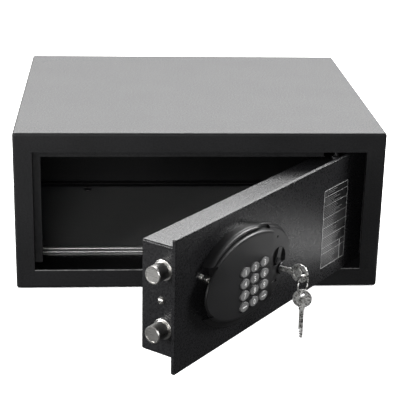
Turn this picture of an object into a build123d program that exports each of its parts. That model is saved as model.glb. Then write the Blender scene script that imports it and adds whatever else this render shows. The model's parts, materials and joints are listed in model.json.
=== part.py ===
from build123d import *
import os
from math import atan, cos, pi, radians, sin, sqrt, tan

# In room safe: a sheet steel cabinet with a side hung door, an oval keypad escutcheon,
# two round motor driven bolts and an override key.  Millimetres, +Z up, the front faces -Y.
# The origin is the centre of the cabinet's underside, which is the centre of its anchor holes.

# Cabinet
CAB_W = 450.0                    # outside width, X
CAB_D = 400.0                    # outside depth, Y
CAB_H = 200.0                    # outside height, Z
SHEET = 2.0                      # body sheet thickness
BEND_R = 3.0                     # outside radius of the folded edges
BORDER_SIDE = 23.0               # front border beside the door
BORDER_END = 24.0                # front border above and below the door
FRONT = -CAB_D / 2               # plane of the front face
SIDE = CAB_W / 2
ANCHOR_R = 6.0                   # anchor hole radius
BASE_PITCH_X = 290.0
BASE_PITCH_Y = 315.0
BACK_INSET = 2.0                 # back panel set in from the rear edge
BACK_RIM = 14.0                  # depth of the back panel's folded rim

# Door opening and the stop that the door plate closes against
OPEN_X = SIDE - BORDER_SIDE
OPEN_Z0 = BORDER_END
OPEN_Z1 = CAB_H - BORDER_END
STOP_DEPTH = 7.0                 # from the front face back to the stop
STOP_W = 7.5                     # how far the stop hangs into the opening at the top
STOP_LEG_W = 9.5                 # and how far it stands in at the closing side
STOP_FOOT = 8.0                  # the stop's leg ends this far above the sill
STOP_END_X = 150.0               # the stop ends short of the swinging hinge edge

# Door plate and the box behind it
PLATE_X0 = -OPEN_X + 1.5
PLATE_X1 = OPEN_X - 2.5
PLATE_Z0 = OPEN_Z0 + 1.5
PLATE_Z1 = OPEN_Z1 - 1.5
PLATE_T = 4.0
BOX_X0 = -191.0
BOX_X1 = 190.0
BOX_Z0 = 38.0
BOX_Z1 = 162.0
BOX_REAR = 47.3                  # rear face of the box, behind the front face
BOX_SHEET = 2.0
BOX_LIP = 12.0
COVER_T = 1.5

# Hinge: concealed pivots in the thickness of the door
PIVOT_X = 170.0
PIVOT_Y = FRONT + 24.0
DOOR_OPEN = 51.2                 # degrees that the stored door stands open
PIN_R = 5.0
RUN = 0.05                       # radial running clearance
BUSH_WALL = 2.0
BUSH_LEN = 12.0
BUSH_FLANGE_R = 10.0
BUSH_FLANGE_T = 1.5
BLOCK_W = 28.0
BLOCK_D = 36.0
BLOCK_FACE = 1.0                 # block face behind the edge of the opening

# Bolts and boltwork
BOLT_R = 9.5
BOLT_DEPTH = 21.5                # bolt centre behind the front face
BOLT_MID_Z = 101.7
BOLT_HALF_PITCH = 32.8
BOLT_THROW = 19.3                # bolt standing out of the box side
BOLT_TAIL_X = -156.0
COLLAR_R = 11.5
COLLAR_T = 1.5
SLEEVE_R = 10.6
CARRIAGE_T = 10.0
BAR_Y0 = 19.0
BAR_Y1 = 25.0
BAR_END_X = 4.0
MODULE = 1.0
PRESSURE_ANGLE = 20.0
BACKLASH = 0.12                  # taken off each flank of rack and gear
RACK_ADDENDUM = 0.85
RACK_DEDENDUM = 1.25
PINION_TEETH = 16
KEY_GEAR_TEETH = 22
PINION_X = -115.0
CHASSIS_Y = 40.0                 # chassis sheet behind the front face
CHASSIS_T = 1.5

# Lock cylinder and key
LOCK_X = -7.0
LOCK_Z = 82.0
BARREL_R = 6.8
PLUG_R = 4.6
LOCK_FACE = -8.2                 # barrel face in front of the door face
BARREL_REAR = 16.0
KEY_T = 2.2
BLADE_H = 5.2
BLADE_LEN = 37.5
TIP_LEN = 10.5
BOW_R = 11.0
BOW_Y = -31.5                    # bow centre in front of the door face
BOW_HOLE = 5.0                   # hole centre from the bow centre
BOW_HOLE_R = 2.6
RING_R = 11.0
WIRE_R = 0.9
RING_DROP = 1.25                 # wire centre below the centre of the bow's hole
SPARE_TURN = 25.0                # spare key's turn about the vertical

# Escutcheon, an oval on the door face
OVAL_X = -77.0
OVAL_Z = 98.0
OVAL_A = 93.0                    # half width
OVAL_B = 52.0                    # height of the upper half beside the lock
LOWER_X = -73.5                  # the lower half of the oval
LOWER_A = 89.5
LOWER_B = 56.5
ARC_X = -90.0                    # outline of the raised arc
ARC_A = 81.0
ARC_B = 57.0
BASE_T = 2.5
PAD_X = -82.0
PAD_A = 83.0
PAD_B = 49.0
PAD_LOWER_X = -72.0              # the lower half of the keypad is flatter
PAD_LOWER_A = 93.0
PAD_LOWER_B = 46.2
PAD_EDGE_R = 4.0                 # rounded edge of the keypad face
PAD_RISE = 12.0                  # keypad face in front of the door face
PAD_SKIN = 2.5
PAD_WALL = 2.2
PAD_EDGE_X = -33.5               # straight joint between keypad and lock section
RECESS_X = -141.0                # inner wall of the finger recess
RECESS_Z0 = 70.0
RECESS_Z1 = 132.0
LIP_X = -118.0                   # the lip over the finger recess is stepped in from here
LIP_Z0 = 75.0
LIP_Z1 = 129.5
LIP_STEP = 3.0
CROWN_R = 4.2                    # emergency power snap contacts
CROWN_BORE_R = 2.95
CROWN_RISE = 3.4
STUD_R = 2.85
STUD_RISE = 3.6
ARC_GAP = 1.8
ARC_ROUND = 4.0
ARC_END_Z = 113.0
ARC_SLOPE_X0 = -68.0             # the arc slopes down from here to its tail
ARC_SLOPE_X1 = -44.0
ARC_LOW = 3.4
TRIM_X = -77.0
TRIM_A = 91.0
TRIM_B = 50.0
TRIM_LOWER_B = 53.0
TRIM_RISE = 6.0
SHUTTER_X = -12.0
SHUTTER_Z = 93.5
SHUTTER_SWEEP_R = 15.5
SHUTTER_BOSS_R = 5.0
SHUTTER_ARM_W = 8.0
SHUTTER_TILT = 20.0              # stored swing of the arm towards the hinge side

# Buttons
BUTTON_A = 8.2
BUTTON_B = 5.3
BUTTON_PITCH_X = 19.0
BUTTON_PITCH_Z = 13.45
BUTTON_X0 = -90.5                # first column
BUTTON_Z0 = 106.4                # first row
BUTTON_ROWS = 4
BUTTON_COLUMNS = 3
BUTTON_PROUD = 1.6
BUTTON_GAP = 0.4
BUTTON_STEP = 1.0                # flange round the foot of each button

# Battery compartment in the inner cover
BATTERY_X = 133.0
BATTERY_Z = 100.0
CELL_R = 7.15
CELL_LEN = 50.0
CELL_PITCH = 15.5
TRAY_Y = 27.5                    # floor of the battery tray behind the front face
HATCH_W = 56.0
HATCH_H = 66.0
LID_T = 1.7

MAT_T = 2.0
MAT_FRONT_Y = FRONT + 128.0
MAT_REAR_Y = 168.0
TRIM_STRIP_W = 25.0


def block(x0, x1, y0, y1, z0, z1):
    """A box between two corners."""
    centre = Pos((x0 + x1) / 2, (y0 + y1) / 2, (z0 + z1) / 2)
    return centre * Box(x1 - x0, y1 - y0, z1 - z0)


def slab(x0, x1, depth0, depth1, z0, z1):
    """A box of the closed door, whose depths are measured back from the front face."""
    return block(x0, x1, FRONT + depth0, FRONT + depth1, z0, z1)


def rod_y(x, z, radius, depth0, depth1):
    """A round bar of the closed door, square to the door face."""
    middle = FRONT + (depth0 + depth1) / 2
    return Pos(x, middle, z) * Rot(90, 0, 0) * Cylinder(radius, depth1 - depth0)


def rod_x(depth, z, radius, x0, x1):
    """A round bar of the closed door, along its width."""
    return Pos((x0 + x1) / 2, FRONT + depth, z) * Rot(0, 90, 0) * Cylinder(radius, x1 - x0)


def rod_z(x, y, radius, z0, z1):
    """An upright round bar."""
    return Pos(x, y, (z0 + z1) / 2) * Cylinder(radius, z1 - z0)


def oval(x, z, half_width, half_height, depth0, depth1):
    """An elliptical slab on the door face."""
    face = Plane(origin=(x, FRONT + depth1, z), x_dir=(1, 0, 0), z_dir=(0, -1, 0))
    return extrude(face * Ellipse(half_width, half_height), depth1 - depth0)


def front_edges(solid, depth):
    """The edges of a door part that lie in one plane parallel to the door face."""
    level = FRONT + depth
    near = level - 0.01
    far = level + 0.01
    return solid.edges().filter_by_position(Axis.Y, near, far)


def hung(solid):
    """Turns a part of the closed door to the stored open position."""
    return Pos(PIVOT_X, PIVOT_Y, 0) * Rot(0, 0, DOOR_OPEN) * Pos(-PIVOT_X, -PIVOT_Y, 0) * solid


def involute_angle(base_r, radius):
    """How far an involute has turned from its start on the base circle, in radians."""
    roll = sqrt(max((radius / base_r) ** 2 - 1, 0.0))
    return roll - atan(roll)


def gear_outline(teeth):
    """Points round a spur gear that meshes with the rack, one tooth centred on +X."""
    pitch_r = MODULE * teeth / 2
    base_r = pitch_r * cos(radians(PRESSURE_ANGLE))
    tip_r = pitch_r + MODULE
    root_r = pitch_r - RACK_DEDENDUM
    half_tooth = (pi * MODULE / 4 - BACKLASH) / pitch_r
    start = half_tooth + involute_angle(base_r, pitch_r)
    low_r = max(base_r, root_r)
    flank_r = [low_r + (tip_r - low_r) * step / 5 for step in range(6)]
    points = []
    for tooth in range(teeth):
        turn = 2 * pi * tooth / teeth
        flank = [(root_r, start)]
        flank += [(radius, start - involute_angle(base_r, radius)) for radius in flank_r]
        mirrored = [(radius, -angle) for radius, angle in flank]
        for radius, angle in mirrored + flank[::-1]:
            points.append((radius * cos(turn + angle), radius * sin(turn + angle)))
    return points


def spur_gear(teeth, x, z, phase, depth0, depth1):
    """A spur gear square to the door face; phase is the angle of one tooth from +X."""
    face = Plane(origin=(x, FRONT + depth1, z), x_dir=(1, 0, 0), z_dir=(0, -1, 0))
    outline = make_face(Polyline(*gear_outline(teeth), close=True))
    return extrude(face * Rot(0, 0, phase) * outline, depth1 - depth0)


def rack_teeth(first_x, last_x, space_x, pitch_z, up):
    """Rack teeth along X; a tooth space is centred on space_x, and up is 1 or -1."""
    pitch = pi * MODULE
    slope = tan(radians(PRESSURE_ANGLE))
    half_pitch_line = pitch / 4 - BACKLASH
    half_tip = half_pitch_line - RACK_ADDENDUM * slope
    half_root = half_pitch_line + RACK_DEDENDUM * slope
    root_z = pitch_z - up * (RACK_DEDENDUM + 0.5)
    tip_z = pitch_z + up * RACK_ADDENDUM
    low_z = pitch_z - up * RACK_DEDENDUM
    teeth = []
    count = int((last_x - first_x) / pitch) + 2
    begin = space_x - pitch / 2 - pitch * int((space_x - first_x) / pitch)
    for number in range(count):
        middle = begin + pitch * number
        if middle - half_root < first_x or middle + half_root > last_x:
            continue
        outline = [
            (middle - half_root, root_z),
            (middle - half_root, low_z),
            (middle - half_tip, tip_z),
            (middle + half_tip, tip_z),
            (middle + half_root, low_z),
            (middle + half_root, root_z),
        ]
        section = make_face(Polyline(*[(x, 0, z) for x, z in outline], close=True))
        tooth = extrude(Pos(0, FRONT + BAR_Y0, 0) * section, BAR_Y1 - BAR_Y0, dir=(0, 1, 0))
        teeth.append(tooth)
    return teeth


BAR_Z0 = LOCK_Z + MODULE * KEY_GEAR_TEETH / 2 + RACK_DEDENDUM
PINION_PITCH_R = MODULE * PINION_TEETH / 2
BAR_Z1 = BAR_Z0 + 10.5
PINION_Z = BAR_Z1 + RACK_DEDENDUM + PINION_PITCH_R
BOLT_Z = (BOLT_MID_Z + BOLT_HALF_PITCH, BOLT_MID_Z - BOLT_HALF_PITCH)


# ---- cabinet ----

def body_shell():
    """The folded wrap: floor, roof, sides and the front border in one sheet."""
    outer = block(-SIDE, SIDE, FRONT, -FRONT, 0, CAB_H)
    along = outer.edges().filter_by(Axis.Y)
    front = outer.faces().sort_by(Axis.Y)[0].edges()
    outer = fillet(along + front, BEND_R)
    inner = block(-SIDE + SHEET, SIDE - SHEET, FRONT + SHEET, -FRONT + 1, SHEET, CAB_H - SHEET)
    inner_along = inner.edges().filter_by(Axis.Y)
    inner = fillet(inner_along, BEND_R - SHEET)
    opening = block(-OPEN_X, OPEN_X, FRONT - 1, FRONT + SHEET + 1, OPEN_Z0, OPEN_Z1)
    shell = outer - inner - opening
    for x in (-BASE_PITCH_X / 2, BASE_PITCH_X / 2):
        for y in (-BASE_PITCH_Y / 2, BASE_PITCH_Y / 2):
            shell -= rod_z(x, y, ANCHOR_R, -1, SHEET + 1)
    return shell


def back_panel():
    """Back sheet with a folded rim, welded inside the wrap."""
    gap = 0.2
    x = SIDE - SHEET - gap
    z0 = SHEET + gap
    z1 = CAB_H - SHEET - gap
    rear = -FRONT - BACK_INSET
    pan = block(-x, x, rear - BACK_RIM, rear, z0, z1)
    pan = fillet(pan.edges().filter_by(Axis.Y), BEND_R - SHEET)
    hollow = block(-x + SHEET, x - SHEET, rear - BACK_RIM - 1, rear - SHEET, z0 + SHEET, z1 - SHEET)
    return pan - hollow


def door_stop_frame():
    """Angle section behind the border along the top and down the closing side."""
    back = FRONT + STOP_DEPTH + SHEET
    near = FRONT + SHEET
    left = -OPEN_X - SHEET
    frame = block(left, STOP_END_X, near, back, OPEN_Z0 - SHEET, OPEN_Z1 + SHEET)
    frame -= block(-OPEN_X, SIDE, near - 1, back - SHEET, OPEN_Z0, OPEN_Z1)
    clear_x = -OPEN_X + STOP_LEG_W
    frame -= block(clear_x, SIDE, near - 1, back + 1, 0, OPEN_Z1 - STOP_W)
    frame -= block(-SIDE, SIDE, near - 1, back + 1, 0, OPEN_Z0 + STOP_FOOT)
    return frame


def hinge_blocks():
    """Steel blocks welded in the upper and lower corner that carry the pivot bushes."""
    x0 = PIVOT_X - BLOCK_W / 2
    x1 = PIVOT_X + BLOCK_W / 2
    y0 = FRONT + SHEET
    y1 = y0 + BLOCK_D
    bush_r = PIN_R + RUN + BUSH_WALL
    upper_z = OPEN_Z1 + BLOCK_FACE
    lower_z = OPEN_Z0 - BLOCK_FACE
    upper = block(x0, x1, y0, y1, upper_z, CAB_H - SHEET)
    upper -= rod_z(PIVOT_X, PIVOT_Y, bush_r, upper_z - 1, upper_z + BUSH_LEN)
    lower = block(x0, x1, y0, y1, SHEET, lower_z)
    lower -= rod_z(PIVOT_X, PIVOT_Y, bush_r, lower_z - BUSH_LEN, lower_z + 1)
    return Compound(children=[upper, lower])


def hinge_bushes():
    """Flanged bronze bushes, one in each hinge block."""
    bush_r = PIN_R + RUN + BUSH_WALL
    upper_z = OPEN_Z1 + BLOCK_FACE
    lower_z = OPEN_Z0 - BLOCK_FACE
    upper = rod_z(PIVOT_X, PIVOT_Y, bush_r, upper_z, upper_z + BUSH_LEN)
    upper += rod_z(PIVOT_X, PIVOT_Y, BUSH_FLANGE_R, upper_z - BUSH_FLANGE_T, upper_z)
    lower = rod_z(PIVOT_X, PIVOT_Y, bush_r, lower_z - BUSH_LEN, lower_z)
    lower += rod_z(PIVOT_X, PIVOT_Y, BUSH_FLANGE_R, lower_z, lower_z + BUSH_FLANGE_T)
    bore = rod_z(PIVOT_X, PIVOT_Y, PIN_R + RUN, 0, CAB_H)
    return Compound(children=[upper - bore, lower - bore])


def thrust_washer():
    """Nylon washer under the lower pivot's collar."""
    low = OPEN_Z0 - BLOCK_FACE + BUSH_FLANGE_T
    ring = rod_z(PIVOT_X, PIVOT_Y, BUSH_FLANGE_R - 1, low, low + 1)
    return ring - rod_z(PIVOT_X, PIVOT_Y, PIN_R + 0.4, low - 1, low + 2)


def floor_mat():
    """Thin carpet mat, cut back from the wall and holed over the anchor holes."""
    edge = SIDE - SHEET - 4
    mat = block(-edge, edge, MAT_FRONT_Y, MAT_REAR_Y, SHEET, SHEET + MAT_T)
    mat = fillet(mat.edges().filter_by(Axis.Z), 6)
    for x in (-BASE_PITCH_X / 2, BASE_PITCH_X / 2):
        mat -= rod_z(x, BASE_PITCH_Y / 2, ANCHOR_R + 1, 0, SHEET + MAT_T + 1)
    return mat


def mat_edge_trim():
    """Satin strip with two raised ribs that holds down the front edge of the mat."""
    edge = SIDE - SHEET - 22
    rear = MAT_FRONT_Y - 0.2
    front = rear - TRIM_STRIP_W
    strip = block(-edge, edge, front, rear, SHEET, SHEET + 1.2)
    for from_rear in (6.3, 17.8):
        rib_y = rear - from_rear
        rib = Pos(0, rib_y, SHEET + 1.2) * Rot(0, 90, 0) * Cylinder(1.4, 2 * edge)
        strip += rib & block(-edge, edge, front, rear, SHEET, SHEET + 4)
    return strip


# ---- door ----

def door_plate():
    """Flat front plate with the cut outs for the lock, the keypad cable and the studs."""
    plate = slab(PLATE_X0, PLATE_X1, 0, PLATE_T, PLATE_Z0, PLATE_Z1)
    plate = fillet(plate.edges().filter_by(Axis.Y), 1.5)
    plate = chamfer(front_edges(plate, 0), 0.4)
    plate -= rod_y(LOCK_X, LOCK_Z, BARREL_R, -1, PLATE_T + 1)
    plate -= slab(PAD_X - 18, PAD_X + 18, -1, PLATE_T + 1, OVAL_Z + 18, OVAL_Z + 30)
    for x, z in fixing_points():
        plate -= rod_y(x, z, 2.1, -1, PLATE_T + 1)
    for x, z in stud_points():
        plate -= rod_y(x, z, 1.5, -1, PLATE_T + 1)
    for x, z in board_posts():
        plate += rod_y(x, z, 2.5, PLATE_T, PLATE_T + 6)
    return plate


def fixing_points():
    """Four fixings that pull the escutcheon base on to the plate."""
    return [(-128.0, 98.0), (-70.0, 55.5), (-70.0, 140.5), (-24.0, 116.0)]


def stud_points():
    """Crown and stud of the emergency power snap, at a block battery's spacing of 12.7 mm."""
    return [(-145.7, 114.4), (-156.7, 120.7)]


def board_posts():
    """Four posts for the control board."""
    return [(41.0, 61.0), (89.0, 61.0), (41.0, 139.0), (89.0, 139.0)]


def cover_points():
    """Six screws round the edge of the inner cover."""
    xs = (BOX_X0 + 7, (BOX_X0 + BOX_X1) / 2, BOX_X1 - 7)
    return [(x, z) for x in xs for z in (BOX_Z0 + 7, BOX_Z1 - 7)]


def chassis_points():
    """Four standoffs of the boltwork chassis."""
    return [(x, z) for x in (-172.0, -38.0) for z in (48.0, 152.0)]


def door_box():
    """Folded box behind the plate, with a lip for the inner cover."""
    box = slab(BOX_X0, BOX_X1, PLATE_T, BOX_REAR, BOX_Z0, BOX_Z1)
    box = fillet(box.edges().filter_by(Axis.Y), 2.5)
    t = BOX_SHEET
    box -= slab(BOX_X0 + t, BOX_X1 - t, PLATE_T - 1, BOX_REAR - t, BOX_Z0 + t, BOX_Z1 - t)
    lip = BOX_LIP
    box -= slab(BOX_X0 + lip, BOX_X1 - lip, PLATE_T, BOX_REAR + 1, BOX_Z0 + lip, BOX_Z1 - lip)
    for z in BOLT_Z:
        box -= rod_x(BOLT_DEPTH, z, SLEEVE_R, BOX_X0 - 1, BOX_X0 + t + 1)
    box -= rod_x(24.0, 100.0, 2.0, BOX_X0 - 1, BOX_X0 + t + 1)
    for x, z in cover_points():
        box -= rod_y(x, z, 1.6, BOX_REAR - t - 1, BOX_REAR + 1)
    box -= rod_z(PIVOT_X, PIVOT_Y, PIN_R, BOX_Z0 - 1, BOX_Z1 + 1)
    return box


def inner_cover():
    """Flat rear cover with the battery hatch and the two rails of its lid."""
    rear = BOX_REAR + COVER_T
    cover = slab(BOX_X0 + 0.5, BOX_X1 - 0.5, BOX_REAR, rear, BOX_Z0 + 0.5, BOX_Z1 - 0.5)
    cover = fillet(cover.edges().filter_by(Axis.Y), 2.0)
    half_w = HATCH_W / 2
    half_h = HATCH_H / 2
    cover -= slab(BATTERY_X - half_w, BATTERY_X + half_w, BOX_REAR - 1, rear + 1,
                  BATTERY_Z - half_h, BATTERY_Z + half_h)
    for x, z in cover_points():
        cover -= rod_y(x, z, 1.9, BOX_REAR - 1, rear + 1)
    rail_x0 = BATTERY_X - half_w - 40
    rail_x1 = BATTERY_X + half_w + 6
    wall = half_h + 4.3
    for side in (-1, 1):
        low, high = sorted((BATTERY_Z + side * wall, BATTERY_Z + side * (wall + 2)))
        cover += slab(rail_x0, rail_x1, rear, rear + 3.8, low, high)
        low, high = sorted((BATTERY_Z + side * (wall - 2.5), BATTERY_Z + side * (wall + 2)))
        cover += slab(rail_x0, rail_x1, rear + 2.3, rear + 3.8, low, high)
    cover += slab(rail_x1 - 1.5, rail_x1, rear, rear + 2.3, BATTERY_Z - 8, BATTERY_Z + 8)
    return cover


def battery_lid():
    """Sliding lid of the battery hatch, with thumb ribs."""
    rear = BOX_REAR + COVER_T
    half_w = HATCH_W / 2 + 4
    half_h = HATCH_H / 2 + 4
    low = rear + 0.2
    lid = slab(BATTERY_X - half_w, BATTERY_X + half_w, low, low + LID_T,
               BATTERY_Z - half_h, BATTERY_Z + half_h)
    for number in range(5):
        x = BATTERY_X - 14 + 4 * number
        lid += slab(x, x + 1.4, low + LID_T, low + LID_T + 0.8, BATTERY_Z - 12, BATTERY_Z + 12)
    return lid


def cover_screws():
    """Pan head screws of the inner cover."""
    screws = []
    rear = BOX_REAR + COVER_T
    for x, z in cover_points():
        screw = rod_y(x, z, 3.2, rear, rear + 2.0)
        screw = fillet(front_edges(screw, rear + 2.0), 0.9)
        screw += rod_y(x, z, 1.5, BOX_REAR - 6, rear)
        screw -= slab(x - 2.2, x + 2.2, rear + 1.2, rear + 3, z - 0.4, z + 0.4)
        screw -= slab(x - 0.4, x + 0.4, rear + 1.2, rear + 3, z - 2.2, z + 2.2)
        screws.append(screw)
    return Compound(children=screws)


def hinge_pin_upper():
    """Upper pivot: a welded pin with a shoulder on the box."""
    top = OPEN_Z1 + BLOCK_FACE + BUSH_LEN - 2
    pin = rod_z(PIVOT_X, PIVOT_Y, PIN_R, BOX_Z1 - 6, top)
    pin = chamfer(pin.edges().sort_by(Axis.Z)[-1:], 1)
    return pin + rod_z(PIVOT_X, PIVOT_Y, PIN_R + 3, BOX_Z1, BOX_Z1 + 3)


def hinge_pin_lower():
    """Lower pivot: the collar carries the weight of the door on the thrust washer."""
    bottom = OPEN_Z0 - BLOCK_FACE - BUSH_LEN + 2
    washer_top = OPEN_Z0 - BLOCK_FACE + BUSH_FLANGE_T + 1
    pin = rod_z(PIVOT_X, PIVOT_Y, PIN_R, bottom, BOX_Z0 + 6)
    pin = chamfer(pin.edges().sort_by(Axis.Z)[:1], 1)
    return pin + rod_z(PIVOT_X, PIVOT_Y, PIN_R + 3, washer_top + 0.1, BOX_Z0)


def side_screw():
    """Domed screw in the closing side of the box."""
    head = Pos(BOX_X0 + 1.2, FRONT + 24.0, 100.0) * Sphere(4.6)
    head &= slab(BOX_X0 - 4, BOX_X0, 18, 30, 94, 106)
    shank = rod_x(24.0, 100.0, 2.0, BOX_X0, BOX_X0 + 9)
    screw = head + shank
    return screw - slab(BOX_X0 - 5, BOX_X0 - 2.4, 23.5, 24.5, 97.5, 102.5)


def label_sheet():
    """Printed information sheet stuck on the door face."""
    sheet = slab(98.0, 156.5, -0.3, 0, 42.5, 143.0)
    return fillet(sheet.edges().filter_by(Axis.Y), 1.5)


# ---- boltwork in the door ----

def bolt(z):
    """One round bolt with a chamfered nose and a turned face."""
    tip = BOX_X0 - BOLT_THROW
    rod = rod_x(BOLT_DEPTH, z, BOLT_R, tip, BOLT_TAIL_X)
    rod = chamfer(rod.edges().sort_by(Axis.X)[:1], 1.0)
    rod -= rod_x(BOLT_DEPTH, z, BOLT_R - 2.2, tip - 1, tip + 0.4)
    return rod


def bolt_bushes():
    """Nickel plated collars that the bolts slide in."""
    bushes = []
    for z in BOLT_Z:
        flange = rod_x(BOLT_DEPTH, z, COLLAR_R, BOX_X0 - COLLAR_T, BOX_X0)
        flange = fillet(flange.edges().sort_by(Axis.X)[:1], 0.6)
        sleeve = rod_x(BOLT_DEPTH, z, SLEEVE_R, BOX_X0, BOX_X0 + 10)
        bore = rod_x(BOLT_DEPTH, z, BOLT_R + RUN, BOX_X0 - 5, BOX_X0 + 15)
        bushes.append(flange + sleeve - bore)
    return Compound(children=bushes)


def bolt_carriage():
    """Upright bar that joins the tails of both bolts."""
    z0 = BOLT_Z[1] - BOLT_R - 2
    z1 = BOLT_Z[0] + BOLT_R + 2
    x1 = BOLT_TAIL_X + CARRIAGE_T
    bar = slab(BOLT_TAIL_X, x1, BOLT_DEPTH - 7.5, BOLT_DEPTH + 7.5, z0, z1)
    bar = fillet(bar.edges().filter_by(Axis.X), 2)
    for z in BOLT_Z:
        bar += rod_x(BOLT_DEPTH, z, 4.0, x1, x1 + 3)
    return bar


def rack_bar():
    """Draw bar with a rack on top for the motor and one below for the key."""
    x0 = BOLT_TAIL_X + CARRIAGE_T
    bar = slab(x0, BAR_END_X, BAR_Y0, BAR_Y1, BAR_Z0, BAR_Z1)
    upper = rack_teeth(x0 + 6, PINION_X + 8, PINION_X, BAR_Z1 + RACK_DEDENDUM, 1)
    lower = rack_teeth(LOCK_X - 26, LOCK_X + 8, LOCK_X, BAR_Z0 - RACK_DEDENDUM, -1)
    for tooth in upper + lower:
        bar += tooth
    return bar


def drive_pinion():
    """Motor pinion on the gearbox output shaft, in mesh with the upper rack."""
    gear = spur_gear(PINION_TEETH, PINION_X, PINION_Z, -90, BAR_Y0, BAR_Y1)
    gear += rod_y(PINION_X, PINION_Z, 4.5, BAR_Y0 - 2, BAR_Y0)
    return gear + rod_y(PINION_X, PINION_Z, 2.5, BAR_Y1, BAR_Y1 + 9)


def gearbox():
    """Reduction gearbox on the chassis, with the bearing for the output shaft."""
    low = BAR_Y1 + 1
    box = slab(PINION_X - 12, PINION_X + 26, low, CHASSIS_Y, PINION_Z - 11, PINION_Z + 11)
    box = fillet(box.edges().filter_by(Axis.Y), 2)
    box += rod_y(PINION_X + 17, PINION_Z, 4, low - 1, low)
    return box - rod_y(PINION_X, PINION_Z, 2.5 + RUN, low - 1, low + 9)


def drive_motor():
    """Small direct current motor on the end of the gearbox."""
    x0 = PINION_X + 26
    can = rod_x(CHASSIS_Y - 7, PINION_Z, 6.4, x0, x0 + 24)
    can = fillet(can.edges().sort_by(Axis.X)[-1:], 1)
    return can + rod_x(CHASSIS_Y - 7, PINION_Z, 2.5, x0 + 24, x0 + 26)


def chassis_plate():
    """Sheet that carries the boltwork, on standoffs from the front plate."""
    rear = CHASSIS_Y + CHASSIS_T
    plate = slab(-178, -30, CHASSIS_Y, rear, 42, 158)
    plate = fillet(plate.edges().filter_by(Axis.Y), 4)
    for x, z in chassis_points():
        plate -= rod_y(x, z, 2.2, CHASSIS_Y - 1, rear + 1)
    for z in (63.0, 139.0):
        plate -= slab(-120, -60, CHASSIS_Y - 1, rear + 1, z - 8, z + 8)
    return plate


def chassis_standoffs():
    """Round standoffs with a screw through the chassis plate."""
    posts = []
    for x, z in chassis_points():
        post = rod_y(x, z, 4.0, PLATE_T, CHASSIS_Y)
        post += rod_y(x, z, 2.1, CHASSIS_Y, CHASSIS_Y + CHASSIS_T)
        post += rod_y(x, z, 3.8, CHASSIS_Y + CHASSIS_T, CHASSIS_Y + CHASSIS_T + 1.8)
        posts.append(post)
    return Compound(children=posts)


def bar_guides():
    """Two nylon guides that the draw bar slides through."""
    guides = []
    slide = 0.25
    for x in (-58.0, -44.0):
        guide = slab(x, x + 8, 12, CHASSIS_Y, BAR_Z0 - 6, BAR_Z1 + 6)
        guide -= slab(x - 1, x + 9, BAR_Y0 - slide, BAR_Y1 + slide, BAR_Z0 - slide, BAR_Z1 + slide)
        guides.append(guide)
    return Compound(children=guides)


# ---- lock cylinder and keys ----

def lock_barrel():
    """Cylinder body through the plate, with a front bezel ring."""
    barrel = rod_y(LOCK_X, LOCK_Z, BARREL_R, LOCK_FACE, BARREL_REAR)
    barrel = chamfer(front_edges(barrel, LOCK_FACE), 0.6)
    return barrel - rod_y(LOCK_X, LOCK_Z, PLUG_R + RUN, LOCK_FACE - 1, BARREL_REAR + 1)


def lock_nut():
    """Hexagon nut that clamps the barrel behind the plate."""
    face = Plane(origin=(LOCK_X, FRONT + PLATE_T + 4, LOCK_Z), x_dir=(1, 0, 0), z_dir=(0, -1, 0))
    nut = extrude(face * RegularPolygon(12.5, 6), 4)
    return nut - rod_y(LOCK_X, LOCK_Z, BARREL_R, PLATE_T - 1, PLATE_T + 5)


def key_plug():
    """Turning plug with the keyway, and a tail for the gear."""
    plug = rod_y(LOCK_X, LOCK_Z, PLUG_R, LOCK_FACE + 0.3, BAR_Y0 - 0.2)
    plug += rod_y(LOCK_X, LOCK_Z, 3.5, BAR_Y0 - 0.2, BAR_Y1 + 3)
    half_t = KEY_T / 2 + 0.2
    half_h = BLADE_H / 2 + 0.3
    key_end = BOW_Y + BOW_R + BLADE_LEN
    return plug - slab(LOCK_X - half_t, LOCK_X + half_t, LOCK_FACE - 1, key_end + 0.5,
                       LOCK_Z - half_h, LOCK_Z + half_h)


def override_gear():
    """Gear on the tail of the plug, in mesh with the lower rack."""
    gear = spur_gear(KEY_GEAR_TEETH, LOCK_X, LOCK_Z, 90, BAR_Y0, BAR_Y1)
    return gear - rod_y(LOCK_X, LOCK_Z, 3.5, BAR_Y0 - 1, BAR_Y1 + 1)


def key_blank():
    """A key lying in the YZ plane: bow centre at the origin, blade along +Y."""
    bow = Rot(0, 90, 0) * Cylinder(BOW_R, KEY_T)
    bow = chamfer(bow.edges().filter_by(GeomType.CIRCLE), 0.4)
    for side in (-1, 1):
        panel = Pos(side * KEY_T / 2, 1.5, 0) * Rot(0, 90, 0) * Cylinder(6.2, 0.7)
        rim = Pos(side * KEY_T / 2, 1.5, 0) * Rot(0, 90, 0) * Cylinder(5.0, 0.7)
        bow -= panel - rim
    half_h = BLADE_H / 2
    start = BOW_R - 1.5
    shank_end = BOW_R + BLADE_LEN - TIP_LEN
    tip_end = BOW_R + BLADE_LEN
    blade = block(-KEY_T / 2, KEY_T / 2, start, shank_end, -half_h, half_h)
    blade += block(-1.6, 1.6, start, BOW_R + 2.5, -half_h - 0.8, half_h + 0.8)
    blade += block(-0.8, 0.8, shank_end, tip_end, -half_h, half_h - 2.4)
    for number in range(3):
        y = shank_end + 1.8 + 3.1 * number
        blade += block(-0.8, 0.8, y, y + 1.7, half_h - 2.4, half_h - 0.5 - 0.5 * number)
    for side in (-1, 1):
        blade -= block(side * KEY_T / 2 - 0.45, side * KEY_T / 2 + 0.45,
                       BOW_R + 4, shank_end - 1, -0.9, 0.7)
    hole = Pos(0, -BOW_HOLE, 0) * Rot(0, 90, 0) * Cylinder(BOW_HOLE_R, 10)
    return bow + blade - hole


def lock_key():
    """The override key in the lock."""
    return Pos(LOCK_X, FRONT + BOW_Y, LOCK_Z) * key_blank()


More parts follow.
